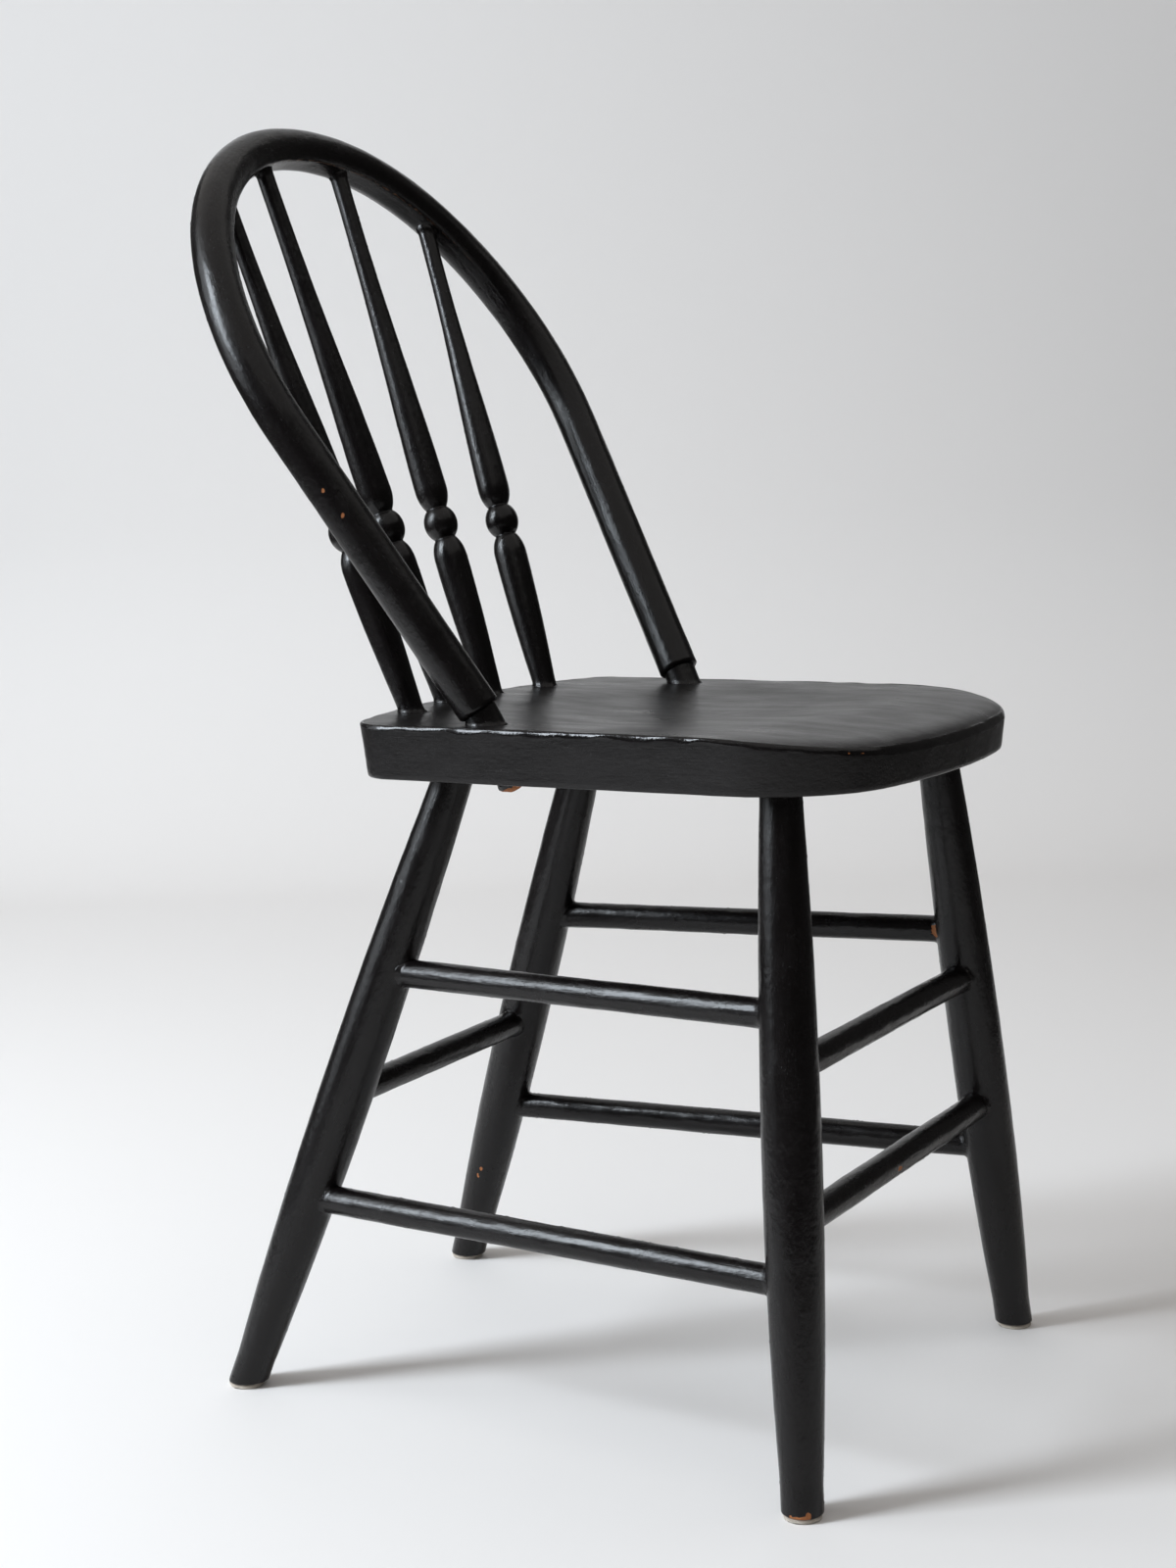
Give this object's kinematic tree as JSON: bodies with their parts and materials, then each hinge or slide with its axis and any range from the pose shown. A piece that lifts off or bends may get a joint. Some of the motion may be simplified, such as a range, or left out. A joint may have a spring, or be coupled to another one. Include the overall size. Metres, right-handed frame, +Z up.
{
  "type": "bow-back side chair",
  "caption": "Plank-seat side chair with raked turned legs, plain stretchers, a bent bow and turned back spindles under old black paint.",
  "frame": {"origin": "on the floor, under the middle of the chair's box", "axes": "+Z up, -Y towards the front of the seat, +X towards the sitter's left"},
  "size_m": [0.389, 0.4852, 0.8255],
  "materials": {
    "black_paint": "old semi-gloss black brush paint over wood, chipped and worn at corners",
    "felt": "flattened wool felt, browned at the edge"
  },
  "bodies": {
    "root": {"seat": "black_paint", "bow": "black_paint", "spindle_right_outer": "black_paint", "spindle_right_inner": "black_paint", "spindle_left_inner": "black_paint", "spindle_left_outer": "black_paint", "leg_front_right": "black_paint", "leg_front_left": "black_paint", "leg_rear_right": "black_paint", "leg_rear_left": "black_paint", "stretcher_side_upper_right": "black_paint", "stretcher_side_upper_left": "black_paint", "stretcher_side_lower_right": "black_paint", "stretcher_side_lower_left": "black_paint", "stretcher_front_upper": "black_paint", "stretcher_front_lower": "black_paint", "stretcher_rear": "black_paint", "pad_front_right": "felt", "pad_front_left": "felt", "pad_rear_right": "felt", "pad_rear_left": "felt"}
  },
  "joints": []
}
